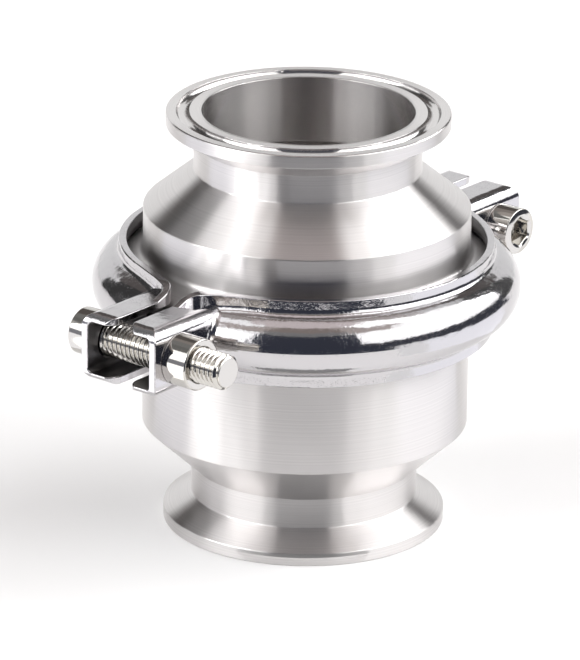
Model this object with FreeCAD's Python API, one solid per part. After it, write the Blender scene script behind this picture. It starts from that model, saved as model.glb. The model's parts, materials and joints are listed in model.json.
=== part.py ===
"""Sanitary spring non-return valve with 64 mm clamp ferrules and a bolted body clamp.

Millimetres. The valve's axis is Z, the origin is the centre of the inlet ferrule's face,
the clamp splits at the plane Y = 0 and its two bolts lie along Y, at -X and +X.
"""
import FreeCAD, Part
import math
import os

V = FreeCAD.Vector

# End ferrules, both alike
ferrule_r = 32.0
ferrule_rim = 2.9
ferrule_flare_rise = 3.75
port_bore_r = 24.0
neck_wall = 1.7
ferrule_groove_r = 28.2
ferrule_groove_section_r = 1.5

# Body halves
body_r = 36.95
body_wall = 2.95
inlet_half_length = 56.85
inlet_neck = 6.95
inlet_cone_rise = 10.5
outlet_half_length = 40.15
outlet_neck = 6.55
outlet_cone_rise = 9.25
edge_break = 0.3

# Body joint: a 91 mm flange pair with a gasket between
joint_flange_width = 8.55
joint_flange_rim = 2.5
joint_slope = math.radians(28.0)
joint_rim_round = 0.8
joint_root_round = 1.5
gasket_thickness = 1.6
gasket_bead_offset = 0.7
gasket_bead_section_r = 1.5

# Pressed clamp halves
sheet = 1.8
collar_inset = 4.9
collar_past_bulge = 3.08
press_round = 1.5
bulge_inset = 1.02
clamp_rim_gap = 0.115
mouth_angle = math.radians(25.0)
mouth_round = 5.0
mouth_fall_past_bulge = 1.05
mouth_fall_run = 6.5
split_half_gap = 2.0
ear_reach = 17.05
ear_face_y = 10.6
ear_past_bulge = 0.73
ear_bend_r = 3.0
ear_flange_corner = 4.0
ear_web_corner = 3.0
sheet_edge_round = 0.25

# Clamp bolts and their round nuts
bolt_offset = 9.05
bolt_r = 4.0
bolt_length = 35.3
bolt_chamfer = 0.65
bolt_hole_r = 4.5
head_r = 5.35
head_length = 6.5
head_round = 0.45
socket_across_flats = 6.0
socket_depth = 4.2
nut_r = 5.85
nut_length = 6.5
nut_round = 0.4

# Plug, its seal and its stem
seat_foot_z = 15.6
seat_angle = math.radians(45.0)
plug_seat_gap = 0.45
plug_nose_clearance = 0.4
plug_past_bore = 4.0
plug_dome_depth = 4.0
plug_back_rise = 7.4
plug_boss_r = 8.0
plug_lift = 12.0
seal_section_r = 1.5
seal_past_bore = 2.6
seal_seat_gap = 0.15
stem_r = 4.0
stem_past_hub = 4.0
stem_in_plug = 16.0
stem_chamfer = 0.8

# Guide spider, its bush and the spring
spider_rim_ledge = 2.4
spider_rim_width = 3.6
spider_rim_height = 3.5
spider_recess_gap = 0.1
spider_arms = 3
spider_arm_width = 4.0
spider_arm_height = 8.0
spider_arm_tip_height = 3.5
hub_r = 9.0
hub_below_joint = 6.85
hub_above_joint = 6.15
spring_seat_below_joint = 2.85
spring_seat_r = 16.0
spring_seat_thickness = 2.0
bush_wall = 2.0
bush_flange_r = 7.6
bush_flange_height = 1.2
spring_mean_r = 13.0
spring_wire_r = 0.9
spring_turns = 8
spring_end_turns = 1
spring_end_gap = 0.1
spring_points_per_turn = 16

# Clearances
running_gap = 0.05
seated_gap = 0.02
lift_stop_gap = 0.1

# Reach of cutting tools: past the whole valve, and just past a face
through = 120.0
past = 1.0

# What counts as a sharp edge, as lying along an axis or square to it, and as the same length
sharp_angle = math.radians(20.0)
axis_tolerance = math.radians(3.0)
along_axis = math.cos(axis_tolerance)
square_to_axis = math.sin(axis_tolerance)
same_length = 1e-4

# Levels along the axis that follow from the sizes above
overall_length = inlet_half_length + outlet_half_length
joint_z = inlet_half_length
inlet_face_z = joint_z - gasket_thickness / 2
outlet_face_z = joint_z + gasket_thickness / 2
hub_bottom_z = joint_z - hub_below_joint
hub_top_z = joint_z + hub_above_joint
spring_seat_z = joint_z - spring_seat_below_joint
boss_top_z = hub_bottom_z - plug_lift - lift_stop_gap
stem_top_z = hub_top_z + stem_past_hub
plug_back_z = seat_foot_z + plug_back_rise

# Radii that follow: the neck and the plug go with the port bore, the spider's rim lies on the
# chamber's ledge and the gasket lies round it
neck_r = port_bore_r + neck_wall
plug_nose_r = port_bore_r - plug_nose_clearance
plug_r = port_bore_r + plug_past_bore
seal_contact_r = port_bore_r + seal_past_bore
chamber_r = body_r - body_wall
spider_rim_r = chamber_r + spider_rim_ledge
gasket_bore_r = spider_rim_r + spider_recess_gap
joint_flange_r = body_r + joint_flange_width
gasket_bead_r = (gasket_bore_r + joint_flange_r) / 2 + gasket_bead_offset

# The clamp follows the joint flanges: its collar lies inside their rims, and its bulge just
# clears the rounded corners of the rims
collar_r = joint_flange_r - collar_inset + sheet
bulge_centre_r = collar_r - bulge_inset
rim_corner_z = gasket_thickness / 2 + joint_flange_rim
rim_round_z = rim_corner_z + joint_rim_round * (math.tan(joint_slope) - 1 / math.cos(joint_slope))
rim_round_r = joint_flange_r - joint_rim_round
rim_round_reach = math.hypot(rim_round_r - bulge_centre_r, rim_round_z) + joint_rim_round
bulge_r = rim_round_reach + clamp_rim_gap + sheet
bulge_end_r = bulge_centre_r + bulge_r
collar_half_height = bulge_r + collar_past_bulge
ear_half_height = bulge_r + ear_past_bulge
bolt_x = bulge_end_r + bolt_offset
ear_end_x = bulge_end_r + ear_reach
mouth_fall_end_x = bulge_end_r + mouth_fall_past_bulge
mouth_fall_start_x = mouth_fall_end_x - mouth_fall_run


def lay_out(points, place):
    """Closed wire through corners (a, b, radius), rounded by tangent arcs."""
    count = len(points)
    starts = []
    ends = []
    for i, (a, b, radius) in enumerate(points):
        here = V(a, b, 0)
        before = V(*points[i - 1][:2], 0) - here
        after = V(*points[(i + 1) % count][:2], 0) - here
        before.normalize()
        after.normalize()
        half = before.getAngle(after) / 2
        reach = radius / math.tan(half) if radius else 0.0
        starts.append(here + before * reach)
        ends.append(here + after * reach)
    edges = []
    for i, (a, b, radius) in enumerate(points):
        if radius:
            here = V(a, b, 0)
            bisector = (starts[i] + ends[i]) * 0.5 - here
            half_chord = (ends[i] - starts[i]).Length / 2
            to_centre = bisector.Length + math.sqrt(radius ** 2 - half_chord ** 2)
            middle = here + bisector.normalize() * (to_centre - radius)
            edges.append(Part.Arc(place(starts[i]), place(middle), place(ends[i])).toShape())
        following = starts[(i + 1) % count]
        if (following - ends[i]).Length > 1e-6:
            edges.append(Part.makeLine(place(ends[i]), place(following)))
    return Part.Wire(Part.__sortEdges__(edges))


def upright(p):
    """A point of an outline in the XZ plane."""
    return V(p.x, 0, p.y)


def flat(p):
    """A point of an outline in the XY plane."""
    return V(p.x, p.y, 0)


def across(p):
    """A point of an outline in the YZ plane."""
    return V(0, p.x, p.y)


def turned(points):
    """Solid of revolution about Z from corners (radius, height, corner radius)."""
    return Part.Face(lay_out(points, upright)).revolve(V(0, 0, 0), V(0, 0, 1), 360)


def prism(points, place, start, sweep):
    """Solid swept straight from a closed outline that is first moved by start."""
    face = Part.Face(lay_out(points, place))
    face.translate(start)
    return face.extrude(sweep)


def cylinder_y(radius, y_from, y_to, x, z):
    """Cylinder along Y between two planes."""
    low = min(y_from, y_to)
    return Part.makeCylinder(radius, abs(y_to - y_from), V(x, low, z), V(0, 1, 0))


def ring_groove(radius, section_r, z):
    """Round groove or bead: a torus about the valve's axis."""
    return Part.makeTorus(radius, section_r, V(0, 0, z), V(0, 0, 1))


def half_body(half_length, neck, cone_rise, flipped, bore):
    """One body half: ferrule, neck, cone, chamber and joint flange, then its bore is cut out."""
    face = half_length - gasket_thickness / 2
    neck_start = ferrule_rim + ferrule_flare_rise
    cone_start = neck_start + neck
    rim_start = face - joint_flange_rim
    slope_start = rim_start - (joint_flange_r - body_r) * math.tan(joint_slope)
    outline = [
        (0, 0, 0),
        (ferrule_r, 0, edge_break),
        (ferrule_r, ferrule_rim, edge_break),
        (neck_r, neck_start, edge_break),
        (neck_r, cone_start, edge_break),
        (body_r, cone_start + cone_rise, edge_break),
        (body_r, slope_start, joint_root_round),
        (joint_flange_r, rim_start, joint_rim_round),
        (joint_flange_r, face, edge_break),
        (0, face, 0),
    ]
    body = turned(outline)
    if flipped:
        body.rotate(V(0, 0, 0), V(1, 0, 0), 180)
        body.translate(V(0, 0, overall_length))
    body = body.cut(turned(bore))
    ferrule_z = overall_length if flipped else 0
    joint_face_z = outlet_face_z if flipped else inlet_face_z
    body = body.cut(ring_groove(ferrule_groove_r, ferrule_groove_section_r, ferrule_z))
    return body.cut(ring_groove(gasket_bead_r, gasket_bead_section_r, joint_face_z))


def inlet_body():
    """Lower half: port bore, seat cone and plug chamber."""
    seat_top_z = seat_foot_z + (chamber_r - port_bore_r) / math.tan(seat_angle)
    bore = [
        (0, -past, 0),
        (port_bore_r, -past, 0),
        (port_bore_r, seat_foot_z, edge_break),
        (chamber_r, seat_top_z, edge_break),
        (chamber_r, inlet_face_z + past, 0),
        (0, inlet_face_z + past, 0),
    ]
    return half_body(inlet_half_length, inlet_neck, inlet_cone_rise, False, bore)


def outlet_body():
    """Upper half: recess for the spider's rim, outlet chamber and port bore."""
    neck_start = ferrule_rim + ferrule_flare_rise
    cone_top_z = overall_length - neck_start - outlet_neck
    cone_slope = math.atan2(outlet_cone_rise, body_r - neck_r)
    inside_drop = body_wall * math.tan(cone_slope / 2)
    chamber_top_z = cone_top_z - outlet_cone_rise - inside_drop
    cone_end_z = chamber_top_z + (chamber_r - port_bore_r) * math.tan(cone_slope)
    recess_z = inlet_face_z + spider_rim_height
    bore = [
        (0, outlet_face_z - past, 0),
        (gasket_bore_r, outlet_face_z - past, 0),
        (gasket_bore_r, recess_z, 0),
        (chamber_r, recess_z, 0),
        (chamber_r, chamber_top_z, edge_break),
        (port_bore_r, cone_end_z, edge_break),
        (port_bore_r, overall_length + past, 0),
        (0, overall_length + past, 0),
    ]
    return half_body(outlet_half_length, outlet_neck, outlet_cone_rise, True, bore)


def body_gasket():
    """Flat ring with a bead on each face that lies in the flanges' grooves."""
    web = [
        (gasket_bore_r, inlet_face_z, 0),
        (joint_flange_r, inlet_face_z, 0),
        (joint_flange_r, outlet_face_z, 0),
        (gasket_bore_r, outlet_face_z, 0),
    ]
    bead_r = gasket_bead_section_r - seated_gap
    beads = [ring_groove(gasket_bead_r, bead_r, z) for z in (inlet_face_z, outlet_face_z)]
    return turned(web).multiFuse(beads).removeSplitter()


def is_bulge(face):
    """Whether a face belongs to the ring's bulge."""
    return isinstance(face.Surface, Part.Toroid)


def is_ear(face):
    """Whether a face is an ear's: its flat web or the bend round it."""
    if isinstance(face.Surface, Part.Cylinder):
        return abs(face.Surface.Axis.x) > 0.5
    return isinstance(face.Surface, Part.Plane) and abs(face.Surface.Axis.y) > 0.99


def is_wall(face):
    """Whether a face is upright and no ear's: the collar, the mouth's straight or its round."""
    if isinstance(face.Surface, Part.Cylinder):
        return abs(face.Surface.Axis.z) > 0.5
    is_flat = isinstance(face.Surface, Part.Plane)
    return is_flat and abs(face.Surface.Axis.z) < 0.5 and not is_ear(face)


def near(value, *others):
    """Whether a length equals one of some others."""
    return any(math.isclose(value, other, abs_tol=same_length) for other in others)


def is_cut(face):
    """Whether a face lies across the sheet: level at the collar's ends, upright at the ears'
    free edges and ends, sloping at the mouths' sides, or round one of their corners.
    """
    surface = face.Surface
    middle = face.CenterOfMass
    if isinstance(surface, Part.Cylinder):
        if abs(surface.Axis.z) > along_axis:
            return near(surface.Radius, ear_flange_corner)
        is_across = abs(surface.Axis.y) > along_axis
        return is_across and near(surface.Radius, ear_web_corner, mouth_round)
    if not isinstance(surface, Part.Plane):
        return False
    if abs(surface.Axis.z) > along_axis:
        return near(abs(middle.z - joint_z), collar_half_height)
    if abs(surface.Axis.y) > along_axis:
        return near(middle.y, -split_half_gap)
    return abs(surface.Axis.y) < square_to_axis


def is_pressed(face):
    """Whether a face is on one of the sheet's own two sides."""
    return not is_cut(face)


def meet_sharply(edge, sides):
    """Whether the two faces at an edge stand at a sharp angle to each other."""
    middle = edge.valueAt((edge.FirstParameter + edge.LastParameter) / 2)
    normals = [face.normalAt(*face.Surface.parameter(middle)) for face in sides]
    return normals[0].getAngle(normals[1]) > sharp_angle


def meeting(shape, one, other):
    """Sharp edges of a shape where a face of one kind meets a face of another kind."""
    found = []
    for edge in shape.Edges:
        sides = shape.ancestorsOfType(edge, Part.Face)
        if len(sides) == 2 and any(one(sides[i]) and other(sides[1 - i]) for i in (0, 1)):
            if meet_sharply(edge, sides):
                found.append(edge)
    return found


def ring_form(inset, half_height):
    """The clamp ring's form, inset into the sheet: an upright collar and a bulge round it."""
    collar = Part.makeCylinder(collar_r - inset, 2 * half_height, V(0, 0, joint_z - half_height))
    bulge = Part.makeTorus(bulge_centre_r, bulge_r - inset, V(0, 0, joint_z), V(0, 0, 1))
    return collar.fuse(bulge).removeSplitter()


def half_plan(inset):
    """Plan of the front half as a tall prism, inset into the sheet from its inner edge.

    The edge follows the collar round the body, leaves it along a straight mouth at each
    side, turns out through a round and runs along the free edges of the ears.
    """
    radius = collar_r - sheet + inset
    edge_y = -split_half_gap - inset
    throat_y = -radius / math.sin(mouth_angle)
    mouth_x = (edge_y - throat_y) * math.tan(mouth_angle)
    turn_r = mouth_round - inset
    outline = [
        (0, throat_y, radius),
        (mouth_x, edge_y, turn_r),
        (ear_end_x, edge_y, ear_flange_corner),
        (ear_end_x, -through, 0),
        (-ear_end_x, -through, 0),
        (-ear_end_x, edge_y, ear_flange_corner),
        (-mouth_x, edge_y, turn_r),
    ]
    return prism(outline, flat, V(0, 0, joint_z - through), V(0, 0, 2 * through))


def ear_bar(inset, end_x):
    """Both ears' form as one bar along X with rounded long edges, inset into the sheet."""
    half_y = ear_face_y - inset
    half_z = ear_half_height - inset
    bend = ear_bend_r - inset
    section = [
        (-half_y, -half_z, bend),
        (half_y, -half_z, bend),
        (half_y, half_z, bend),
        (-half_y, half_z, bend),
    ]
    return prism(section, across, V(-end_x, 0, joint_z), V(2 * end_x, 0, 0))


def side_form(corners, half_width):
    """Prism across both ears from an outline in the XZ plane about the joint's height."""
    return prism(corners, upright, V(0, -half_width, joint_z), V(0, 2 * half_width, 0))


def clamp_half():
    """Front half: one pressed sheet with a bulged ring and C-shaped ears, its edges broken."""
    ear_face = [
        (-ear_end_x, -ear_half_height, ear_web_corner),
        (ear_end_x, -ear_half_height, ear_web_corner),
        (ear_end_x, ear_half_height, ear_web_corner),
        (-ear_end_x, ear_half_height, ear_web_corner),
    ]
    mouth_face = [
        (-mouth_fall_end_x, -ear_half_height, 0),
        (-mouth_fall_start_x, -collar_half_height, mouth_round),
        (mouth_fall_start_x, -collar_half_height, mouth_round),
        (mouth_fall_end_x, -ear_half_height, 0),
        (mouth_fall_end_x, ear_half_height, 0),
        (mouth_fall_start_x, collar_half_height, mouth_round),
        (-mouth_fall_start_x, collar_half_height, mouth_round),
        (-mouth_fall_end_x, ear_half_height, 0),
    ]
    plan = half_plan(0)
    ears = ear_bar(0, ear_end_x).common(side_form(ear_face, ear_face_y))
    mouth = plan.cut(half_plan(sheet)).common(side_form(mouth_face, collar_r))
    form = ring_form(0, collar_half_height).fuse(ears).common(plan).fuse(mouth).removeSplitter()
    roots = meeting(form, is_bulge, is_wall) + meeting(form, is_bulge, is_ear)
    form = form.makeFillet(press_round, roots)
    hollow = ring_form(sheet, through)
    hollow = hollow.makeFillet(press_round + sheet, meeting(hollow, is_bulge, is_wall))
    form = form.cut(hollow).cut(ear_bar(sheet, through))
    holes = [cylinder_y(bolt_hole_r, -through, 0, side * bolt_x, joint_z) for side in (-1, 1)]
    form = form.cut(Part.makeCompound(holes)).removeSplitter()
    return form.makeFillet(sheet_edge_round, meeting(form, is_cut, is_pressed))


def half_turn(shape):
    """The same piece turned half round about the valve's axis."""
    other = shape.copy()
    other.rotate(V(0, 0, 0), V(0, 0, 1), 180)
    return other


def along_bolt(points):
    """Solid of revolution about the front half's own bolt line, from corners (radius, y)."""
    solid = turned(points)
    solid.rotate(V(0, 0, 0), V(1, 0, 0), -90)
    solid.translate(V(bolt_x, 0, joint_z))
    return solid


def bolt_right():
    """Socket head bolt with its head on the front half's +X ear; it points to +Y."""
    end_y = bolt_length - ear_face_y
    head_y = -ear_face_y - head_length
    bolt = along_bolt([
        (0, head_y, 0),
        (head_r, head_y, head_round),
        (head_r, -ear_face_y, edge_break),
        (bolt_r, -ear_face_y, 0),
        (bolt_r, end_y - bolt_chamfer, 0),
        (bolt_r - bolt_chamfer, end_y, 0),
        (0, end_y, 0),
    ])
    corner_r = socket_across_flats / math.sqrt(3)
    corners = []
    for i in range(6):
        angle = math.radians(60 * i + 30)
        corners.append((corner_r * math.cos(angle), corner_r * math.sin(angle), 0))
    foot = V(bolt_x, head_y - past, joint_z)
    return bolt.cut(prism(corners, upright, foot, V(0, socket_depth + past, 0)))


def nut_right():
    """Round nut that is fixed on the rear half's +X ear."""
    return along_bolt([
        (bolt_r + running_gap, ear_face_y, 0),
        (nut_r, ear_face_y, edge_break),
        (nut_r, ear_face_y + nut_length, nut_round),
        (bolt_r + running_gap, ear_face_y + nut_length, edge_break),
    ])


def seat_z(radius):
    """Height of the seat cone at a radius."""
    return seat_foot_z + (radius - port_bore_r) / math.tan(seat_angle)


def seal_centre():
    """Radius and height of the seal's section centre, just clear of the seat cone."""
    off = seal_section_r + seal_seat_gap
    centre_r = seal_contact_r - off * math.cos(seat_angle)
    return centre_r, seat_z(seal_contact_r) + off * math.sin(seat_angle)


def plug_disc():
    """Mushroom plug: domed nose, coned edge with the seal's groove, and a boss for the stem."""
    lift_off = plug_seat_gap / math.sin(seat_angle)
    nose_z = seat_z(plug_nose_r) + lift_off
    rim_z = seat_z(plug_r) + lift_off
    dome_r = (plug_nose_r ** 2 + plug_dome_depth ** 2) / (2 * plug_dome_depth)
    body = turned([
        (0, nose_z - plug_dome_depth, 0),
        (plug_nose_r, nose_z - plug_dome_depth, 0),
        (plug_nose_r, nose_z, edge_break),
        (plug_r, rim_z, edge_break),
        (plug_r, plug_back_z, edge_break),
        (plug_boss_r, plug_back_z, edge_break),
        (plug_boss_r, boss_top_z, edge_break),
        (0, boss_top_z, 0),
    ])
    dome = Part.makeSphere(dome_r, V(0, 0, nose_z - plug_dome_depth + dome_r))
    above = Part.makeCylinder(plug_r + past, boss_top_z, V(0, 0, nose_z))
    body = body.common(dome.fuse(above))
    centre_r, centre_z = seal_centre()
    body = body.cut(ring_groove(centre_r, seal_section_r + seated_gap, centre_z))
    foot = V(0, 0, boss_top_z - stem_in_plug)
    return body.cut(Part.makeCylinder(stem_r + seated_gap, stem_in_plug + past, foot))


def plug_seal():
    """O-ring of the plug."""
    centre_r, centre_z = seal_centre()
    return ring_groove(centre_r, seal_section_r, centre_z)


def plug_stem():
    """Round stem that is screwed into the plug's boss and runs in the guide bush."""
    foot_z = boss_top_z - stem_in_plug
    return turned([
        (0, foot_z, 0),
        (stem_r - stem_chamfer, foot_z, 0),
        (stem_r, foot_z + stem_chamfer, 0),
        (stem_r, stem_top_z, stem_chamfer),
        (0, stem_top_z, 0),
    ])


def guide_spider():
    """Rim held at the body joint, tapered arms, and a hub with the spring's seat."""
    inner_r = spider_rim_r - spider_rim_width
    rim_top_z = inlet_face_z + spider_rim_height
    bore_r = stem_r + bush_wall + running_gap
    spider = turned([
        (inner_r, inlet_face_z, edge_break),
        (spider_rim_r, inlet_face_z, edge_break),
        (spider_rim_r, rim_top_z, edge_break),
        (inner_r, rim_top_z, edge_break),
    ])
    seat_top_z = spring_seat_z + spring_seat_thickness
    hub = turned([
        (0, hub_bottom_z, 0),
        (hub_r, hub_bottom_z, edge_break),
        (hub_r, spring_seat_z, edge_break),
        (spring_seat_r, spring_seat_z, edge_break),
        (spring_seat_r, seat_top_z, edge_break),
        (hub_r, seat_top_z, edge_break),
        (hub_r, hub_top_z, edge_break),
        (0, hub_top_z, 0),
    ])
    middle_r = spider_rim_r - spider_rim_width / 2
    arm = prism([
        (0, spring_seat_z, 0),
        (spring_seat_r, spring_seat_z, 0),
        (inner_r, inlet_face_z, 0),
        (middle_r, inlet_face_z, 0),
        (middle_r, inlet_face_z + spider_arm_tip_height, 0),
        (0, spring_seat_z + spider_arm_height, 0),
    ], upright, V(0, -spider_arm_width / 2, 0), V(0, spider_arm_width, 0))
    spider = spider.fuse(hub)
    for i in range(spider_arms):
        spoke = arm.copy()
        spoke.rotate(V(0, 0, 0), V(0, 0, 1), 90 + 360 / spider_arms * i)
        spider = spider.fuse(spoke)
    return spider.cut(Part.makeCylinder(bore_r, through)).removeSplitter()


def guide_bush():
    """Flanged plastic bush in the hub; the stem runs in it."""
    outer_r = stem_r + bush_wall
    inner_r = stem_r + running_gap
    return turned([
        (inner_r, hub_bottom_z + edge_break, edge_break),
        (outer_r, hub_bottom_z + edge_break, 0),
        (outer_r, hub_top_z, 0),
        (bush_flange_r, hub_top_z, 0),
        (bush_flange_r, hub_top_z + bush_flange_height, edge_break),
        (inner_r, hub_top_z + bush_flange_height, edge_break),
    ])


def spring_height(turn, foot, rise, closed_pitch):
    """Height of the wire's centre after a number of turns: closed ends, even turns between."""
    active_turns = spring_turns - 2 * spring_end_turns
    pitch = (rise - 2 * spring_end_turns * closed_pitch) / active_turns
    if turn <= spring_end_turns:
        return foot + turn * closed_pitch
    if turn >= spring_turns - spring_end_turns:
        return foot + rise - (spring_turns - turn) * closed_pitch
    return foot + spring_end_turns * closed_pitch + (turn - spring_end_turns) * pitch


def return_spring():
    """Coil spring between the plug's back and the spider's seat."""
    foot = plug_back_z + spring_wire_r + spring_end_gap
    rise = spring_seat_z - spring_wire_r - spring_end_gap - foot
    closed_pitch = 2 * spring_wire_r + spring_end_gap
    points = []
    for i in range(spring_turns * spring_points_per_turn + 1):
        turn = i / spring_points_per_turn
        angle = 2 * math.pi * turn
        height = spring_height(turn, foot, rise, closed_pitch)
        points.append(V(spring_mean_r * math.cos(angle), spring_mean_r * math.sin(angle), height))
    path = Part.BSplineCurve()
    path.interpolate(points)
    edge = path.toShape()
    start = path.parameterAtDistance(0)
    direction = path.tangent(start)[0]
    section = Part.Wire([Part.makeCircle(spring_wire_r, points[0], direction)])
    return Part.Wire([edge]).makePipeShell([section], True, True)


def main():
    """Write one STEP file for each piece."""
    front = clamp_half()
    bolt = bolt_right()
    nut = nut_right()
    pieces = {
        "inlet_body": inlet_body(),
        "outlet_body": outlet_body(),
        "body_gasket": body_gasket(),
        "guide_spider": guide_spider(),
        "guide_bush": guide_bush(),
        "plug_disc": plug_disc(),
        "plug_seal": plug_seal(),
        "plug_stem": plug_stem(),
        "return_spring": return_spring(),
        "clamp_front_half": front,
        "clamp_rear_half": half_turn(front),
        "bolt_right": bolt,
        "bolt_left": half_turn(bolt),
        "nut_right": nut,
        "nut_left": half_turn(nut),
    }
    os.makedirs("parts", exist_ok=True)
    for name, shape in pieces.items():
        solids = shape.Solids
        print(name, len(solids), "solid", round(shape.Volume), "mm3")
        solid = solids[0] if len(solids) == 1 else Part.makeCompound(solids)
        solid.exportStep(f"parts/{name}.step")


if __name__ == "__main__":
    main()
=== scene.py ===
"""Sanitary non-return valve of turned stainless steel with a pressed two-bolt clamp.

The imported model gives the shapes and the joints. This add-on dresses it: it finishes the
turned, pressed and moulded surfaces, cuts real threads on the clamp's bolts, winds the return
spring, and sets a pale floor, a lit studio tent and the camera. Lengths are in metres.
"""
import json
import math

import bmesh
import bpy
import numpy as np
from bpy.props import FloatProperty, FloatVectorProperty, IntProperty, PointerProperty
from mathutils import Matrix, Vector


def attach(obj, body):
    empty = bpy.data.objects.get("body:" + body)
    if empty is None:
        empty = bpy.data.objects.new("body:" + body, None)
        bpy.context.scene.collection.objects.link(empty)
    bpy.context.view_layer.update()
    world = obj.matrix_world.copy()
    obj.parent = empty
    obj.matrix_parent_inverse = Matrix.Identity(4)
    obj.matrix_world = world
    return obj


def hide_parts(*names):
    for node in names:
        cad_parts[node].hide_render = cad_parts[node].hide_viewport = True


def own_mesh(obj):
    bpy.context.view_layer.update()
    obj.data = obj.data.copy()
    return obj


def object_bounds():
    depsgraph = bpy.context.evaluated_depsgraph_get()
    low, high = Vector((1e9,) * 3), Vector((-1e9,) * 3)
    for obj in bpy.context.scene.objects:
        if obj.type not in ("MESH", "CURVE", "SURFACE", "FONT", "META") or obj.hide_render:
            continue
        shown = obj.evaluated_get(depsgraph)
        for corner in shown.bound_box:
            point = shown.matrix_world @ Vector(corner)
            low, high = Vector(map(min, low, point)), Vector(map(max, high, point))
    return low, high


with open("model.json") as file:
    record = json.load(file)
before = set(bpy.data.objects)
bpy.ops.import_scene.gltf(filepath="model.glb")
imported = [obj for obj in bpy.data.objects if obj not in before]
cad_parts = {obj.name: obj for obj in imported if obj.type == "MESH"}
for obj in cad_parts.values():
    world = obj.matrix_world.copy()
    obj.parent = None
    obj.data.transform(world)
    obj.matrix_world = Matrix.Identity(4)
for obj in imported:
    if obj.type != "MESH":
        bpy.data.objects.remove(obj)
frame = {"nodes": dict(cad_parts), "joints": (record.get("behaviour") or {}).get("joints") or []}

bl_info = {
    "name": "Non-return valve",
    "version": (1, 0, 0),
    "blender": (4, 5, 0),
    "location": "View3D > Sidebar > Valve",
    "description": "Finishes, threads, spring and studio for a clamped non-return valve",
    "category": "Object",
}

MM = 0.001
CAD_BOX = [list(corner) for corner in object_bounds()]
NODES = frame["nodes"]
JOINTS = {joint["name"]: joint for joint in frame["joints"]}
VALVE_LENGTH = CAD_BOX[1][2] - CAD_BOX[0][2]
BOLT_OFFSET, BOLT_SEAT, JOINT_HEIGHT = (abs(v) for v in JOINTS["right_bolt_turn"]["pos_m"])
# The ferrules' end faces: middle radius, half their width, depth with the gasket's groove
FACE_MIDDLE = 28.15 * MM
FACE_HALF_WIDTH = 3.75 * MM
FACE_DEPTH = 1.6 * MM
BORE_LIMIT = 24.6 * MM
CORNER_BREAK = 0.25 * MM
# Size of the last ring round a centre, as a share of the ring before it
CENTRE_RING = 0.02


def linear(code):
    """Linear red, green and blue of an sRGB hex colour, by the sRGB transfer curve."""
    values = [int(code[i:i + 2], 16) / 255 for i in (1, 3, 5)]
    return [v / 12.92 if v <= 0.04045 else ((v + 0.055) / 1.055) ** 2.4 for v in values]


def millimetres(name, text, value):
    """A length property with its default given in millimetres."""
    return FloatProperty(name=name, description=text, default=value * MM, min=0,
                         subtype="DISTANCE", unit="LENGTH")


def degrees(name, text, value):
    """An angle property with its default given in degrees."""
    return FloatProperty(name=name, description=text, default=math.radians(value),
                         subtype="ANGLE", unit="ROTATION")


def colour(name, text, code):
    """A colour property with its default given as an sRGB hex value."""
    return FloatVectorProperty(name=name, description=text, default=linear(code), min=0, max=1,
                               subtype="COLOR")


def share(name, text, value):
    """A plain number property between nought and one."""
    return FloatProperty(name=name, description=text, default=value, min=0, max=1,
                         subtype="FACTOR")


class SteelFinish(bpy.types.PropertyGroup):
    """Colours and tool marks of the metal parts."""
    turned: colour("Turned steel", "Reflection of the turned stainless bodies", "#DCD9D8")
    pressed: colour("Pressed steel", "Reflection of the polished clamp halves", "#C6C4C6")
    fastener: colour("Fasteners", "Reflection of the bolts and nuts", "#CBC8C3")
    wire: colour("Spring wire", "Reflection of the drawn spring wire", "#B9B6B2")
    turned_roughness: share("Turned roughness", "Spread of reflections on turned faces", 0.30)
    pressed_roughness: share("Pressed roughness", "Spread of reflections on the clamp", 0.08)
    feed: millimetres("Turning feed", "Distance between the tool's marks", 0.35)
    peel: millimetres("Orange peel", "Size of the clamp's shallow polishing dimples", 0.75)


class SoftFinish(bpy.types.PropertyGroup):
    """Colours of the seals and the bush."""
    gasket: colour("Gasket", "Moulded black rubber of the body gasket", "#1B1B1C")
    seal: colour("Plug seal", "Moulded black rubber of the plug's ring", "#191818")
    bush: colour("Bush", "Machined white plastic of the guide bush", "#E6E3DB")


class BoltSizes(bpy.types.PropertyGroup):
    """Sizes of the clamp's bolts."""
    crest: millimetres("Crest radius", "Radius of the thread's crest", 4.0)
    pitch: millimetres("Pitch", "Distance between two turns of the thread", 1.25)
    depth: millimetres("Thread depth", "Depth of the thread from crest to root", 0.68)
    length: millimetres("Length", "Length under the head", 35.3)
    plain: millimetres("Plain shank", "Length of shank without thread under the head", 2.0)
    head: millimetres("Head radius", "Radius of the head", 5.35)
    head_height: millimetres("Head height", "Height of the head", 6.5)
    socket: millimetres("Socket", "Distance across the flats of the hexagon socket", 6.0)
    socket_depth: millimetres("Socket depth", "Depth of the hexagon socket", 4.2)
    offset: millimetres("Offset", "Distance of the bolts from the valve's axis",
                        BOLT_OFFSET / MM)
    seat: millimetres("Seat", "Distance of the head's bearing face from the split plane",
                      BOLT_SEAT / MM)


class SpringSizes(bpy.types.PropertyGroup):
    """Sizes of the return spring."""
    mean: millimetres("Mean radius", "Radius of the coil at the wire's centre", 13.0)
    wire: millimetres("Wire radius", "Radius of the wire", 0.9)
    foot: millimetres("Foot", "Height of the lowest wire's centre", 24.0)
    top: millimetres("Top", "Height of the highest wire's centre", 53.0)
    closed: millimetres("Closed pitch", "Pitch of the closed end turns", 1.9)
    turns: IntProperty(name="Turns", description="Number of turns with the closed ones",
                       default=8, min=3)


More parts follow.
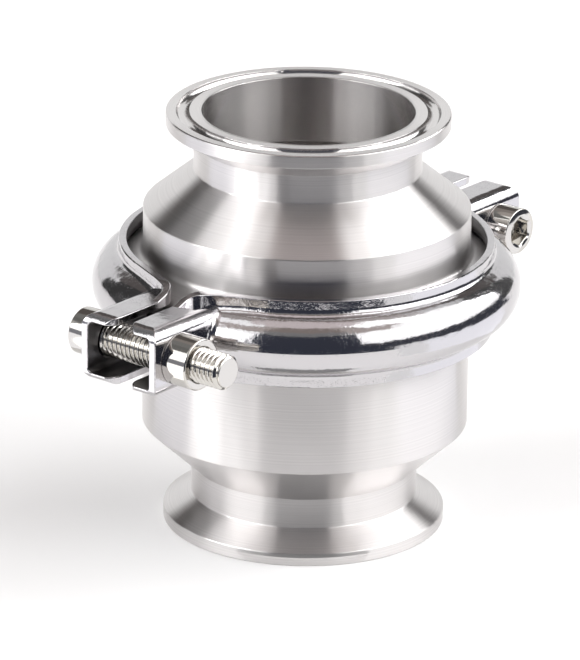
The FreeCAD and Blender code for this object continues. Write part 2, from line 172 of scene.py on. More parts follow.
class StudioSettings(bpy.types.PropertyGroup):
    """Floor, light and camera."""
    floor: colour("Floor", "Colour of the floor", "#FCFCFC")
    background: colour("Background", "Colour beyond the floor", "#FFFFFF")
    light: FloatProperty(name="Light", description="Brightness of the whole tent", default=1.0,
                         min=0)
    azimuth: degrees("Azimuth", "Camera's turn round the valve", -51.2)
    elevation: degrees("Elevation", "Camera's height above the floor", 20.399)
    roll: degrees("Roll", "Camera's tilt", 0.738)
    distance: millimetres("Distance", "Camera's distance from its aim", 1464.2)
    aim_side: millimetres("Aim", "Aim's offset to the left of the valve's axis", 3.54)
    aim_height: millimetres("Aim height", "Height of the camera's aim", 44.61)
    lens: FloatProperty(name="Lens", description="Focal length in millimetres",
                        default=352.75, subtype="DISTANCE_CAMERA")


def add_node(tree, kind, values=None, links=None, **settings):
    """One node with its settings, its sockets' values and the sockets that feed it.

    A socket goes by its name or its number. Numbers 1 to 4 of a Map Range are the lowest and
    the highest value that come in, and what they become.
    """
    node = tree.nodes.new(kind)
    for name, value in settings.items():
        setattr(node, name, value)
    for socket, value in (values or {}).items():
        node.inputs[socket].default_value = value
    for socket, source in (links or {}).items():
        tree.links.new(source, node.inputs[socket])
    return node


def new_material(name, viewport):
    """An empty node material and its tree; the viewport colour matches the finish."""
    material = bpy.data.materials.new(name)
    material.use_nodes = True
    material.diffuse_color = (*viewport, 1)
    material.node_tree.nodes.clear()
    return material, material.node_tree


def finish_material(tree, values, links=None):
    """Adds the shader with its plain values and its links, and joins it to the output."""
    shader = add_node(tree, "ShaderNodeBsdfPrincipled", values, links)
    add_node(tree, "ShaderNodeOutputMaterial", links={"Surface": shader.outputs["BSDF"]})


def lathe_place(tree, centre, along):
    """Sockets of a point's place, radius and height about the axis that a part turned on."""
    turn = (0, 0, 0) if along == "Z" else (math.pi / 2, 0, 0)
    coords = add_node(tree, "ShaderNodeTexCoord")
    place = add_node(tree, "ShaderNodeMapping", {"Location": centre, "Rotation": turn},
                     {"Vector": coords.outputs["Object"]}, vector_type="TEXTURE")
    split = add_node(tree, "ShaderNodeSeparateXYZ", links={0: place.outputs[0]})
    flat = add_node(tree, "ShaderNodeCombineXYZ", links={0: split.outputs[0], 1: split.outputs[1]})
    radius = add_node(tree, "ShaderNodeVectorMath", links={0: flat.outputs[0]}, operation="LENGTH")
    return place.outputs[0], radius.outputs["Value"], split.outputs[2]


def ferrule_sheen(tree, spread, roughness, radius, height):
    """A body's roughness socket: smoother on its lapped end face and slightly so in its bore.

    A point is on an end face where it lies no deeper than the gasket's groove from either end
    of the valve and its radius is between the bore's and the rim's. It is in the bore where
    its radius is under the bore's limit.
    """
    fade = 0.2 * MM
    lapped_share = 0.5
    bored_share = 0.85
    half = VALVE_LENGTH / 2
    level = add_node(tree, "ShaderNodeMath", {1: half}, {0: height}, operation="SUBTRACT")
    away = add_node(tree, "ShaderNodeMath", links={0: level.outputs[0]}, operation="ABSOLUTE")
    near_end = add_node(tree, "ShaderNodeMapRange",
                        {1: half - FACE_DEPTH - fade, 2: half - FACE_DEPTH}, {0: away.outputs[0]})
    on_ring = add_node(tree, "ShaderNodeMath", {1: FACE_MIDDLE, 2: FACE_HALF_WIDTH}, {0: radius},
                       operation="COMPARE")
    lapped = add_node(tree, "ShaderNodeMath", operation="MULTIPLY",
                      links={0: near_end.outputs[0], 1: on_ring.outputs[0]})
    faced = add_node(tree, "ShaderNodeMapRange", {4: roughness * lapped_share},
                     {0: lapped.outputs[0], 3: spread})
    bored = add_node(tree, "ShaderNodeMath", {1: BORE_LIMIT}, {0: radius}, operation="LESS_THAN")
    sheen = add_node(tree, "ShaderNodeMapRange", {4: roughness * bored_share},
                     {0: bored.outputs[0], 3: faced.outputs[0]})
    return sheen.outputs[0]


def turned_stainless(name, tint, roughness, feed, centre=(0, 0, 0), along="Z", marks=1.0,
                     anisotropy=1.0, ferrule=False):
    """Lathe-turned 316L stainless steel, left as it came off the tool.

    The tool leaves fine rings round the part's axis, a feed apart and as strong as marks says.
    They spread reflections along the axis and keep them sharp round it, as far as anisotropy
    says, so light stands in upright bands. The rings' pattern runs over
    height + 1.7 x radius, which changes along every face of the profile, cones included.
    Wiping leaves cloudy patches of slightly different sheen, about a centimetre across.
    The ferrules' end faces, groove included, are lapped for their gaskets and mirror sharply,
    and the bores are bored a little finer. Corners are broken, so they glint.
    """
    ring_slope = 1.7
    wiped_patch = 11.1 * MM
    material, tree = new_material(name, tint)
    place, radius, height = lathe_place(tree, centre, along)
    profile = add_node(tree, "ShaderNodeMath", {1: ring_slope}, {0: radius, 2: height},
                       operation="MULTIPLY_ADD")
    rings = add_node(tree, "ShaderNodeTexNoise", {"Scale": 1 / feed, "Detail": 1.0},
                     {"W": profile.outputs[0]}, noise_dimensions="1D")
    passes = add_node(tree, "ShaderNodeTexNoise", {"Scale": 1 / (4 * feed), "Detail": 1.0},
                      {"W": profile.outputs[0]}, noise_dimensions="1D")
    broken = add_node(tree, "ShaderNodeBevel", {"Radius": CORNER_BREAK}, samples=6)
    bump = add_node(tree, "ShaderNodeBump", {"Strength": 0.13 * marks, "Distance": 0.01 * MM},
                    {"Height": rings.outputs[0], "Normal": broken.outputs[0]})
    waves = add_node(tree, "ShaderNodeBump", {"Strength": 0.12 * marks, "Distance": 0.02 * MM},
                     {"Height": passes.outputs[0], "Normal": bump.outputs[0]})
    shade = add_node(tree, "ShaderNodeMapRange", {1: 0.2, 2: 0.8, 3: 0.95, 4: 1.04},
                     {0: rings.outputs[0]})
    tinted = add_node(tree, "ShaderNodeVectorMath", {0: tint}, {"Scale": shade.outputs[0]},
                      operation="SCALE")
    wiped = add_node(tree, "ShaderNodeTexNoise", {"Scale": 1 / wiped_patch, "Detail": 2.0},
                     {"Vector": place})
    spread = add_node(tree, "ShaderNodeMapRange", {1: 0.2, 2: 0.8, 3: roughness * 0.92,
                                                   4: roughness * 1.1},
                      {0: wiped.outputs[0]}).outputs[0]
    if ferrule:
        spread = ferrule_sheen(tree, spread, roughness, radius, height)
    tangent = add_node(tree, "ShaderNodeTangent", direction_type="RADIAL", axis=along)
    finish_material(tree, {"Metallic": 1.0, "Anisotropic": anisotropy,
                           "Anisotropic Rotation": 0.25},
                    {"Base Color": tinted.outputs[0], "Roughness": spread,
                     "Normal": waves.outputs[0], "Tangent": tangent.outputs[0]})
    return material


def polished_pressing(name, tint, roughness, peel):
    """Pressed 304 stainless sheet, mechanically polished after pressing.

    Polishing leaves a mirror with shallow dimples, the orange peel, and tiny pits that catch
    light as sparkle. Pits are drawn coarser than real ones so that they show. The sheet's inner
    side keeps the duller press finish in its roughness. Its colour is also darkened to under
    half, which is painted shade in the clamp's hollow. A point is on it where the dot product of
    its place, from the clamp's middle, and its normal is below nought by more than a few
    millimetres.
    """
    swell_size = 6.25 * peel
    pit_size = peel / 2.6
    inner_start = -3.0 * MM
    inner_full = -4.5 * MM
    inner_roughness = 0.3
    inner_painted_shade = 0.45
    material, tree = new_material(name, tint)
    coords = add_node(tree, "ShaderNodeTexCoord")
    dimples = add_node(tree, "ShaderNodeTexNoise", {"Scale": 1 / peel, "Detail": 2.0,
                                                    "Roughness": 0.55},
                       {"Vector": coords.outputs["Object"]})
    swell = add_node(tree, "ShaderNodeTexNoise", {"Scale": 1 / swell_size, "Detail": 1.0},
                     {"Vector": coords.outputs["Object"]})
    pits = add_node(tree, "ShaderNodeTexNoise", {"Scale": 1 / pit_size, "Detail": 1.0},
                    {"Vector": coords.outputs["Object"]})
    pitted = add_node(tree, "ShaderNodeMapRange", {1: 0.60, 2: 0.74, 3: 1.0, 4: 0.0},
                      {0: pits.outputs[0]})
    broad = add_node(tree, "ShaderNodeBump", {"Strength": 0.7, "Distance": 0.18 * MM},
                     {"Height": swell.outputs[0]})
    bump = add_node(tree, "ShaderNodeBump", {"Strength": 0.55, "Distance": 0.04 * MM},
                    {"Height": dimples.outputs[0], "Normal": broad.outputs[0]})
    fine = add_node(tree, "ShaderNodeBump", {"Strength": 0.35, "Distance": 0.02 * MM},
                    {"Height": pitted.outputs[0], "Normal": bump.outputs[0]})
    spread = add_node(tree, "ShaderNodeMapRange", {1: 0.35, 2: 0.7, 3: roughness * 0.8,
                                                   4: roughness * 1.5}, {0: dimples.outputs[0]})
    from_middle = add_node(tree, "ShaderNodeVectorMath", {1: (0, 0, JOINT_HEIGHT)},
                           {0: coords.outputs["Object"]}, operation="SUBTRACT")
    facing = add_node(tree, "ShaderNodeVectorMath", operation="DOT_PRODUCT",
                      links={0: from_middle.outputs[0], 1: coords.outputs["Normal"]})
    # Mask of the sheet's inner side: it sets the real duller roughness and the painted shade
    inner = add_node(tree, "ShaderNodeMapRange", {1: inner_start, 2: inner_full},
                     {0: facing.outputs["Value"]})
    sheen = add_node(tree, "ShaderNodeMapRange", {4: inner_roughness},
                     {0: inner.outputs[0], 3: spread.outputs[0]})
    # The inner side's colour, darkened to under half, is painted shade in the clamp's hollow
    shade = add_node(tree, "ShaderNodeMapRange", {3: 1.0, 4: inner_painted_shade}, {0: inner.outputs[0]})
    tinted = add_node(tree, "ShaderNodeVectorMath", {0: tint}, {"Scale": shade.outputs[0]},
                      operation="SCALE")
    finish_material(tree, {"Metallic": 1.0},
                    {"Base Color": tinted.outputs[0], "Roughness": sheen.outputs[0],
                     "Normal": fine.outputs[0]})
    return material


def drawn_wire(name, tint):
    """Cold-drawn stainless spring wire: faint scratches from the die and a dull sheen."""
    scratch = 0.45 * MM
    material, tree = new_material(name, tint)
    coords = add_node(tree, "ShaderNodeTexCoord")
    scratches = add_node(tree, "ShaderNodeTexNoise", {"Scale": 1 / scratch, "Detail": 2.0},
                         {"Vector": coords.outputs["Object"]})
    bump = add_node(tree, "ShaderNodeBump", {"Strength": 0.4, "Distance": 0.01 * MM},
                    {"Height": scratches.outputs[0]})
    spread = add_node(tree, "ShaderNodeMapRange", {1: 0.3, 2: 0.7, 3: 0.24, 4: 0.4},
                      {0: scratches.outputs[0]})
    finish_material(tree, {"Metallic": 1.0, "Base Color": (*tint, 1)},
                    {"Roughness": spread.outputs[0], "Normal": bump.outputs[0]})
    return material


def moulded_rubber(name, tint):
    """Moulded EPDM rubber: near black, a faint bloom and the mould's fine grain."""
    grain_size = 0.29 * MM
    bloom_patch = 4.5 * MM
    material, tree = new_material(name, tint)
    coords = add_node(tree, "ShaderNodeTexCoord")
    grain = add_node(tree, "ShaderNodeTexNoise", {"Scale": 1 / grain_size, "Detail": 3.0},
                     {"Vector": coords.outputs["Object"]})
    bloom = add_node(tree, "ShaderNodeTexNoise", {"Scale": 1 / bloom_patch, "Detail": 2.0},
                     {"Vector": coords.outputs["Object"]})
    shade = add_node(tree, "ShaderNodeMapRange", {1: 0.3, 2: 0.7, 3: 0.9, 4: 1.35},
                     {0: bloom.outputs[0]})
    tinted = add_node(tree, "ShaderNodeVectorMath", {0: tint}, {"Scale": shade.outputs[0]},
                      operation="SCALE")
    bump = add_node(tree, "ShaderNodeBump", {"Strength": 0.4, "Distance": 0.03 * MM},
                    {"Height": grain.outputs[0]})
    finish_material(tree, {"Roughness": 0.55},
                    {"Base Color": tinted.outputs[0], "Normal": bump.outputs[0]})
    return material


def machined_plastic(name, tint):
    """Machined white PTFE: waxy, slightly clear, with faint rings from the tool."""
    ring_spacing = 0.4 * MM
    material, tree = new_material(name, tint)
    coords = add_node(tree, "ShaderNodeTexCoord")
    split = add_node(tree, "ShaderNodeSeparateXYZ", links={0: coords.outputs["Object"]})
    rings = add_node(tree, "ShaderNodeTexNoise", {"Scale": 1 / ring_spacing, "Detail": 1.0},
                     {"W": split.outputs[2]}, noise_dimensions="1D")
    bump = add_node(tree, "ShaderNodeBump", {"Strength": 0.3, "Distance": 0.02 * MM},
                    {"Height": rings.outputs[0]})
    finish_material(tree, {"Base Color": (*tint, 1), "Roughness": 0.38,
                           "Subsurface Weight": 0.1, "Subsurface Scale": 1.0 * MM},
                    {"Normal": bump.outputs[0]})
    return material


def dress(node, material):
    """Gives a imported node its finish."""
    slots = NODES[node].data.materials
    slots.clear()
    slots.append(material)


def grid_faces(rows, columns, lead=0):
    """Quads between neighbouring rows and columns of a grid that is closed round its columns.

    Past the last column the grid meets its first column, lead rows further up.
    """
    row, column = np.meshgrid(np.arange(rows - 1), np.arange(columns), indexing="ij")
    last = column == columns - 1
    beside = np.where(last, 0, column + 1)
    shift = np.where(last, lead, 0)
    quads = np.stack([row * columns + column, (row + shift) * columns + beside,
                      (row + shift + 1) * columns + beside, (row + 1) * columns + column], -1)
    inside = row + shift + 1 < rows
    return quads[inside]


def solid_piece(name, points, faces, material, body, smooth_angle=35):
    """A closed mesh from points and quads: doubles merged, normals outwards, edges kept crisp."""
    least = 0.001 * MM
    mesh = bpy.data.meshes.new(name)
    mesh.from_pydata(points.tolist(), [], faces.tolist())
    shell = bmesh.new()
    shell.from_mesh(mesh)
    bmesh.ops.remove_doubles(shell, verts=shell.verts, dist=least)
    bmesh.ops.dissolve_degenerate(shell, edges=shell.edges, dist=least)
    bmesh.ops.holes_fill(shell, edges=shell.edges, sides=0)
    bmesh.ops.recalc_face_normals(shell, faces=shell.faces)
    shell.to_mesh(mesh)
    shell.free()
    mesh.shade_smooth()
    mesh.set_sharp_from_angle(angle=math.radians(smooth_angle))
    mesh.materials.append(material)
    piece = bpy.data.objects.new(name, mesh)
    bpy.context.scene.collection.objects.link(piece)
    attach(piece, body)
    return piece


def thread_rows(sizes, columns):
    """Points of a threaded shank about Z, and the number of rows that one turn climbs.

    Along the axis one pitch is root, flank, crest, flank; the whole profile climbs by one
    pitch per turn, so column i stands i / columns of a pitch higher. Heights are clipped to
    the shank, and the radius to a run-out cone at its start and a chamfer cone at its end.
    """
    end = sizes.length
    tip = sizes.crest - sizes.depth - 0.05 * MM
    runout_slope = 0.9
    chamfer_slope = 1.1
    heights = np.array([0.0, 0.125, 0.25, 0.5625, 0.6875]) * sizes.pitch
    radii = sizes.crest - sizes.depth * np.array([1.0, 1.06, 1.0, 0.0, 0.0])
    turns = int((end - sizes.plain) / sizes.pitch) + 4
    start = sizes.plain - 2 * sizes.pitch
    around = np.arange(columns) / columns
    z = (start + np.arange(turns)[:, None] * sizes.pitch + heights).reshape(-1, 1)
    z = z + around * sizes.pitch
    r = np.repeat(np.tile(radii, turns)[:, None], columns, 1)
    runout = sizes.crest - (z - sizes.plain) * runout_slope
    chamfer = tip + (end - z) * chamfer_slope
    r = np.minimum(np.maximum(r, runout), chamfer)
    r = np.where(z <= sizes.plain, sizes.crest, r)
    r = np.where(z >= end, tip, r)
    z = np.clip(z, sizes.plain, end)
    angle = around * math.tau
    return np.stack([r * np.cos(angle), r * np.sin(angle), z], -1), len(heights)


def head_rows(sizes, columns):
    """Points of the head about Z, from the socket's floor over its coned rim to the shank.

    Each row is a ring. The socket's rings follow a hexagon, whose radius at an angle is half
    the distance across flats divided by the cosine of the angle from the nearest flat. Its
    floor has a drill point and its mouth is countersunk just past the hexagon's corners.
    """
    drill_point = 1.5 * MM
    countersink = 0.25 * MM
    countersink_depth = 0.35 * MM
    rounding = 0.3 * MM
    rim_width = 1.2 * MM
    angle = np.arange(columns) / columns * math.tau
    from_flat = (angle + math.pi / 6) % (math.pi / 3) - math.pi / 6
    hexagon = sizes.socket / 2 / np.cos(from_flat)
    corner = sizes.socket / 2 / math.cos(math.pi / 6)
    top = -sizes.head_height
    floor = top + sizes.socket_depth
    rows = [(hexagon * CENTRE_RING, floor + drill_point), (hexagon, floor),
            (hexagon, top + countersink_depth), (corner + countersink, top),
            (sizes.head - rim_width, top)]
    rows += [(sizes.head - rounding * (1 - math.sin(a)),
              top + rounding * (2 - math.cos(a))) for a in np.radians(np.arange(0, 91, 15))]
    rows += [(sizes.head, -rounding), (sizes.head - rounding, 0.0),
             (sizes.crest + rounding, 0.0), (sizes.crest, rounding), (sizes.crest, sizes.plain)]
    return np.stack([np.stack([radius * np.cos(angle), radius * np.sin(angle),
                               np.full(columns, height)], -1) for radius, height in rows])


def bolt_mesh(sizes, columns=96):
    """Points and quads of the whole bolt about Z, the head below and the end above zero."""
    head = head_rows(sizes, columns)
    thread, lead = thread_rows(sizes, columns)
    tip = np.concatenate([thread[-1:], thread[-1:] * CENTRE_RING])
    tip[..., 2] = sizes.length
    points = np.concatenate([rows.reshape(-1, 3) for rows in (head, thread, tip)])
    faces = np.concatenate([
        grid_faces(len(head), columns),
        grid_faces(len(thread), columns, lead) + len(head) * columns,
        grid_faces(len(tip), columns) + (len(head) + len(thread)) * columns])
    return points, faces


def coil_mesh(sizes, around=20, steps=48, window=13):
    """Points and quads of a coil: a circle carried square to a helix with closed ends.

    The centre's height rises by the closed pitch over the first and last turn and evenly
    between them, and its running mean over a window of steps rounds both changes of pitch.
    The circle stands on the outward radius and the upright, tilted by the rise.
    """
    turn = np.linspace(0, sizes.turns, sizes.turns * steps + 1)
    height = np.interp(turn, [0, 1, sizes.turns - 1, sizes.turns],
                       [sizes.foot, sizes.foot + sizes.closed, sizes.top - sizes.closed,
                        sizes.top])
    margin = np.arange(1, window // 2 + 1) * (height[1] - height[0])
    padded = np.concatenate([height[0] - margin[::-1], height, height[-1] + margin])
    height = np.convolve(padded, np.ones(window) / window, mode="valid")
    angle = math.tau * turn
    centre = np.stack([sizes.mean * np.cos(angle), sizes.mean * np.sin(angle), height], -1)
    tangent = np.gradient(centre, axis=0)
    tangent /= np.linalg.norm(tangent, axis=1, keepdims=True)
    outward = np.stack([np.cos(angle), np.sin(angle), np.zeros_like(angle)], -1)
    upward = np.cross(tangent, outward)
    spin = np.arange(around) / around * math.tau
    ring = (outward[:, None] * np.cos(spin)[None, :, None]
            + upward[:, None] * np.sin(spin)[None, :, None]) * sizes.wire
    points = centre[:, None] + ring
    return points.reshape(-1, 3), grid_faces(len(turn), around)


class VALVE_OT_turned_parts(bpy.types.Operator):
    """Finish the turned bodies, the guide and the plug"""
    bl_idname = "valve.turned_parts"
    bl_label = "Turned parts"

    def execute(self, context):
        steel = context.scene.valve_steel
        body = turned_stainless("Turned_316L_stainless", list(steel.turned),
                                steel.turned_roughness, steel.feed, ferrule=True)
        inner = turned_stainless("Fine_turned_316L_stainless", list(steel.turned),
                                 steel.turned_roughness * 0.8, steel.feed * 0.7, marks=0.7)
        for node in ("inlet_body", "outlet_body"):
            dress(node, body)
        for node in ("guide_spider", "plug_disc", "plug_stem"):
            dress(node, inner)
        return {"FINISHED"}


class VALVE_OT_soft_parts(bpy.types.Operator):
    """Finish the gasket, the plug's ring and the guide bush"""
    bl_idname = "valve.soft_parts"
    bl_label = "Seals and bush"

    def execute(self, context):
        soft = context.scene.valve_soft
        dress("body_gasket", moulded_rubber("Moulded_EPDM_gasket", list(soft.gasket)))
        dress("plug_seal", moulded_rubber("Moulded_EPDM_ring", list(soft.seal)))
        dress("guide_bush", machined_plastic("Machined_PTFE", list(soft.bush)))
        return {"FINISHED"}


class VALVE_OT_clamp(bpy.types.Operator):
    """Finish the two pressed clamp halves"""
    bl_idname = "valve.clamp"
    bl_label = "Clamp halves"

    def execute(self, context):
        steel = context.scene.valve_steel
        sheet = polished_pressing("Polished_pressed_304_stainless", list(steel.pressed),
                                  steel.pressed_roughness, steel.peel)
        for node in ("clamp_front_half", "clamp_rear_half"):
            dress(node, sheet)
        return {"FINISHED"}


class VALVE_OT_bolts(bpy.types.Operator):
    """Cut the clamp's threaded bolts and finish their nuts"""
    bl_idname = "valve.bolts"
    bl_label = "Bolts and nuts"

    def execute(self, context):
        sizes = context.scene.valve_bolt
        steel = context.scene.valve_steel
        points, faces = bolt_mesh(sizes)
        x, y, z = points.T
        for side, name, body, nut in ((1, "bolt_right", "right_bolt", "nut_right"),
                                      (-1, "bolt_left", "left_bolt", "nut_left")):
            material = turned_stainless(
                f"Turned_A2_fastener_{name}", list(steel.fastener), roughness=0.08,
                feed=0.25 * MM, centre=(side * sizes.offset, 0, JOINT_HEIGHT), along="Y",
                marks=0.5, anisotropy=0.0)
            # Laid over from Z onto Y, and the left bolt turned half round: no mirroring, so
            # the threads stay right-handed
            placed = np.stack([side * (sizes.offset + x), side * (z - sizes.seat),
                               JOINT_HEIGHT - y], -1)
            piece = solid_piece(f"threaded_{name}", placed, faces, material,
                                body)
            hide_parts(name)
            dress(nut, material)
        return {"FINISHED"}


class VALVE_OT_spring(bpy.types.Operator):
    """Wind the return spring"""
    bl_idname = "valve.spring"
    bl_label = "Return spring"

    def execute(self, context):
        sizes = context.scene.valve_spring
        material = drawn_wire("Drawn_302_spring_wire", list(context.scene.valve_steel.wire))
        points, faces = coil_mesh(sizes)
        piece = solid_piece("wound_return_spring", points, faces, material,
                            "valve_body", smooth_angle=60)
        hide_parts("return_spring")
        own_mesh(piece)
        return {"FINISHED"}


def emitter(name, tint, strength):
    """A plain glowing surface, for the studio tent."""
    material, tree = new_material(name, tint)
    glow = add_node(tree, "ShaderNodeEmission", {"Color": (*tint, 1), "Strength": strength})
    add_node(tree, "ShaderNodeOutputMaterial", links={"Surface": glow.outputs[0]})
    return material


def stage_object(name, points, faces, material):
    """A mesh of one material, linked into the scene, for the studio round the valve."""
    mesh = bpy.data.meshes.new(name)
    mesh.from_pydata(points.tolist(), [], faces)
    mesh.materials.append(material)
    thing = bpy.data.objects.new(name, mesh)
    bpy.context.scene.collection.objects.link(thing)
    return thing


# The tent's radius, its lift off the floor, and about how many degrees part its points
TENT_RADIUS = 4.0
PANEL_LIFT = 2 * MM
PANEL_STEP = 5
# Studio tent seen from the valve: each panel's limits in degrees, across from the camera's side
# to the right and up from the horizon, and its colour and brightness. Panels under the horizon
# lie on the floor and show only in reflections.
TENT = [
    ("ceiling", -180, 180, 75, 90, "#FFF3F2", 0.84),
    ("ceiling_front", -30, 30, 58, 75, "#FFEEE6", 0.32),
    ("ceiling_right", 78, 120, 56, 65, "#FFFFFF", 2.20),
    ("ceiling_right_low_gap", 30, 78, 56, 65, "#FFF2EC", 0.60),
    ("ceiling_right_slope", 30, 65, 50, 56, "#FFF2EC", 0.60),
    ("ceiling_right_high", 55, 120, 65, 75, "#FFFFFF", 2.20),
    ("ceiling_right_gap", 30, 55, 65, 75, "#FFF2EC", 0.55),
    ("ceiling_rear", 120, 150, 58, 75, "#FFF6F2", 0.60),
    ("ceiling_rear_middle", 150, 210, 58, 75, "#FFEEE6", 0.30),
    ("ceiling_rear_left", 210, 249, 58, 75, "#FFF6F2", 0.50),
    ("ceiling_left", 249, 284, 58, 66, "#FFFFFF", 1.50),
    ("ceiling_left_low_gap", 284, 330, 58, 66, "#FFF2EC", 0.60),
    ("ceiling_left_slope", 298, 330, 50, 58, "#FFF2EC", 0.60),
    ("ceiling_left_high", 249, 304, 66, 75, "#FFFFFF", 1.50),
    ("ceiling_left_gap", 304, 330, 66, 75, "#FFF2EC", 0.55),
    ("backdrop", 146, 220, 0, 26, "#FFFFFF", 0.95),
    ("over_backdrop", 146, 220, 26, 48, "#FFF4F0", 0.13),
    ("under_ceiling", 146, 220, 48, 58, "#FFF4F0", 0.32),
    ("right_rear", 129, 146, 0, 44, "#FFFFFF", 0.09),
    ("right_rear_top", 129, 146, 44, 58, "#FFFFFF", 0.85),
    ("left_rear", 220, 240, 0, 44, "#FFFFFF", 0.06),
    ("left_rear_near", 240, 247, 0, 44, "#FFFFFF", 0.08),
    ("left_rear_top", 220, 247, 44, 58, "#FFFFFF", 0.25),
    ("camera_side", -30, 30, 0, 44, "#BCC4E2", 0.10),
    ("over_camera", -30, 30, 44, 58, "#FFFFFF", 0.28),
    ("camera_side_floor", -30, 44, -16, -0.8, "#BCC4E2", 0.10),
    ("right_wall_floor", 44, 129, -8, -0.8, "#D8DCF4", 0.09),
    ("left_wall_floor", -113, -30, -4, -0.8, "#F0F2FF", 0.35),
    # A dim sheet on the floor by the valve's foot, seen only in reflections: painted shadow of the
    # foot
    ("front_floor_painted_shadow", -28, 28, -66, -48, "#FFFFFF", 0.36),
    ("right_floor_edge", 44, 60, -33, -8, "#FFFFFF", 1.15),
    ("right_floor", 60, 118, -33, -8, "#FAFAFF", 1.42),
    ("right_wall", 30, 129, 0, 11, "#D8DCF4", 0.09),
    ("right_softbox_foot", 30, 129, 11, 20, "#FFFFFF", 1.8),
    ("right_softbox_edge", 30, 45, 20, 42, "#FFFFFF", 2.0),
    ("right_softbox_side", 45, 65, 20, 42, "#FFFFFF", 4.0),
    ("right_softbox_core", 65, 129, 20, 42, "#FFFFFF", 5.5),
    ("right_softbox_top", 65, 129, 42, 56, "#FFFFFF", 1.8),
    ("right_softbox_slope", 30, 65, 42, 50, "#FFFFFF", 1.8),
    ("left_floor_edge", -52, -38, -33, -4, "#FFFFFF", 1.35),
    ("left_floor", -113, -75, -33, -4, "#FAFAFF", 1.42),
    ("left_floor_side", -75, -52, -33, -4, "#FFFFFF", 2.10),
    ("left_wall", -113, -30, 0, 12, "#F0F2FF", 0.35),
    ("left_softbox_foot", -113, -30, 12, 20, "#FFFFFF", 2.2),
    ("left_softbox_edge", -45, -30, 20, 42, "#FFFFFF", 2.0),
    ("left_softbox_side", -65, -45, 20, 42, "#FFFFFF", 5.5),
    ("left_softbox_core", -90, -65, 20, 36, "#FFFFFF", 6.5),
    ("left_softbox_rear", -113, -90, 20, 36, "#FFFFFF", 0.5),
    ("left_softbox_fall", -113, -90, 36, 58, "#FFFFFF", 0.2),
    ("left_softbox_high", -90, -65, 36, 42, "#FFFFFF", 2.0),
    ("left_softbox_top", -90, -62, 42, 58, "#FFFFFF", 1.6),
    ("left_softbox_slope", -62, -30, 42, 50, "#FFFFFF", 1.6),
]


def tent_panel(low, high, bottom, top, azimuth):
    """Points and quads of one tent panel: a patch of a sphere about the valve, in degrees.

    A panel under the horizon lies on the floor instead, where sight lines from the joint's
    height at its limits meet the floor: distance out = height / tan(angle below the horizon).
    """
    columns = max(2, int((high - low) / PANEL_STEP) + 1)
    rows = max(2, int((top - bottom) / PANEL_STEP) + 1)
    across = np.radians(np.linspace(low, high, columns))
    up = np.radians(np.linspace(bottom, top, rows))
    if top < 0:
        out = JOINT_HEIGHT / np.tan(-up)
        rise = np.full_like(up, PANEL_LIFT)
    else:
        out = TENT_RADIUS * np.cos(up)
        rise = TENT_RADIUS * np.sin(up) + PANEL_LIFT
    right = np.outer(out, np.sin(across))
    toward = np.outer(out, np.cos(across))
    points = np.stack([right * math.cos(azimuth) + toward * math.sin(azimuth),
                       right * math.sin(azimuth) - toward * math.cos(azimuth),
                       np.repeat(rise[:, None], columns, 1)], -1)
    row, column = np.meshgrid(np.arange(rows - 1), np.arange(columns - 1), indexing="ij")
    first = row * columns + column
    faces = np.stack([first, first + 1, first + columns + 1, first + columns], -1)
    return points.reshape(-1, 3), faces.reshape(-1, 4)


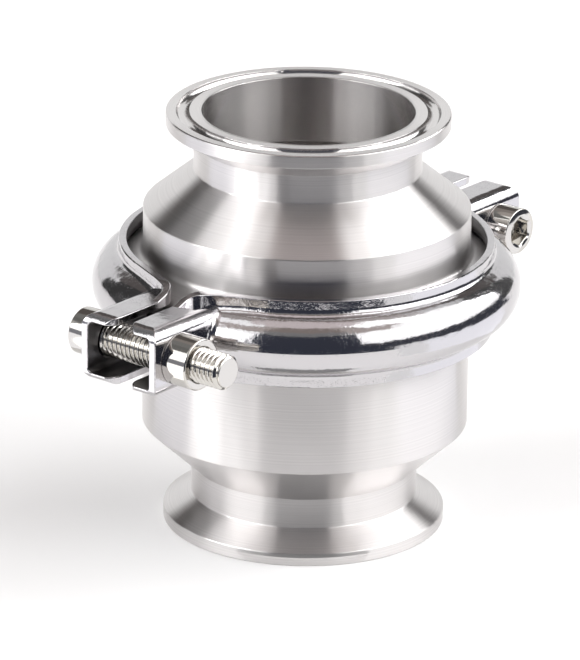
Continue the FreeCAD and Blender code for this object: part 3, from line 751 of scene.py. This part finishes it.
class VALVE_OT_stage(bpy.types.Operator):
    """Set the floor, the studio tent and the camera"""
    bl_idname = "valve.stage"
    bl_label = "Stage"

    def execute(self, context):
        studio = context.scene.valve_studio
        context.scene.view_settings.view_transform = "Standard"
        self.world(studio)
        self.floor(studio)
        self.tent(studio)
        self.camera(studio)
        return {"FINISHED"}

    def world(self, studio):
        """A plain background at a strength of one, at which white renders white."""
        world = bpy.data.worlds.new("Studio_background")
        world.use_nodes = True
        backdrop = world.node_tree.nodes["Background"]
        backdrop.inputs["Color"].default_value = (*studio.background, 1)
        bpy.context.scene.world = world

    def floor(self, studio):
        """A wide pale disc under the valve, from rings of points at growing radii."""
        columns = 96
        drop = 0.01 * MM
        radii = np.array([0.001, 0.3, 1.0, 4.0, 20.0])
        angle = np.arange(columns) / columns * math.tau
        points = np.stack([np.outer(radii, np.cos(angle)), np.outer(radii, np.sin(angle)),
                           np.full((len(radii), columns), -drop)], -1)
        middle = [list(range(columns))]
        material, tree = new_material("Matt_white_board", studio.floor)
        finish_material(tree, {"Base Color": (*studio.floor, 1), "Roughness": 0.7,
                               "Specular IOR Level": 0.2})
        floor = stage_object("floor", points.reshape(-1, 3),
                             grid_faces(len(radii), columns).tolist() + middle, material)

    def tent(self, studio):
        """The glowing panels: polished steel mirrors them, and the camera doesn't see them."""
        for name, low, high, bottom, top, code, strength in TENT:
            points, faces = tent_panel(low, high, bottom, top, studio.azimuth)
            panel = stage_object(name, points, faces.tolist(),
                                 emitter(name, linear(code), strength * studio.light))
            panel.visible_camera = False
            panel.visible_diffuse = top > 0
            panel.visible_shadow = top > 0

    def camera(self, studio):
        """The photograph's camera: turned round the valve, raised and rolled about its aim."""
        turn, rise, roll = studio.azimuth, studio.elevation, studio.roll
        right = Vector((math.cos(turn), math.sin(turn), 0))
        back = Vector((math.sin(turn) * math.cos(rise), -math.cos(turn) * math.cos(rise),
                       math.sin(rise)))
        up = back.cross(right)
        side = right * math.cos(roll) + up * math.sin(roll)
        crown = up * math.cos(roll) - right * math.sin(roll)
        aim = -studio.aim_side * right + Vector((0, 0, studio.aim_height))
        data = bpy.data.cameras.new("photo_camera")
        data.lens = studio.lens
        data.sensor_width = 36.0
        data.clip_start = 0.1
        data.clip_end = 50.0
        camera = bpy.data.objects.new("photo_camera", data)
        bpy.context.scene.collection.objects.link(camera)
        camera.matrix_world = Matrix.Translation(aim + back * studio.distance) @ Matrix(
            (side, crown, back)).transposed().to_4x4()
        bpy.context.scene.camera = camera


class VALVE_PT_panel(bpy.types.Panel):
    """Lists the valve's sizes, colours and steps"""
    bl_label = "Non-return valve"
    bl_idname = "VALVE_PT_panel"
    bl_space_type = "VIEW_3D"
    bl_region_type = "UI"
    bl_category = "Valve"

    def draw(self, context):
        for group in GROUPS:
            box = self.layout.box()
            settings = getattr(context.scene, group)
            for name in settings.__annotations__:
                box.prop(settings, name)
        for step in STEPS:
            self.layout.operator(step.bl_idname)


GROUPS = {
    "valve_steel": SteelFinish,
    "valve_soft": SoftFinish,
    "valve_bolt": BoltSizes,
    "valve_spring": SpringSizes,
    "valve_studio": StudioSettings,
}
STEPS = (VALVE_OT_stage, VALVE_OT_turned_parts, VALVE_OT_soft_parts, VALVE_OT_clamp,
         VALVE_OT_bolts, VALVE_OT_spring)


def register():
    """Adds the sizes, the operators and the panel to Blender."""
    for group in (*GROUPS.values(), *STEPS, VALVE_PT_panel):
        bpy.utils.register_class(group)
    for name, group in GROUPS.items():
        setattr(bpy.types.Scene, name, PointerProperty(type=group))


def unregister():
    """Takes them out again."""
    for name in GROUPS:
        delattr(bpy.types.Scene, name)
    for group in (VALVE_PT_panel, *reversed(STEPS), *GROUPS.values()):
        bpy.utils.unregister_class(group)


def main():
    """Runs every step in order."""
    register()
    bpy.ops.valve.stage()
    bpy.ops.valve.turned_parts()
    bpy.ops.valve.soft_parts()
    bpy.ops.valve.clamp()
    bpy.ops.valve.bolts()
    bpy.ops.valve.spring()


if __name__ == "__main__":
    main()
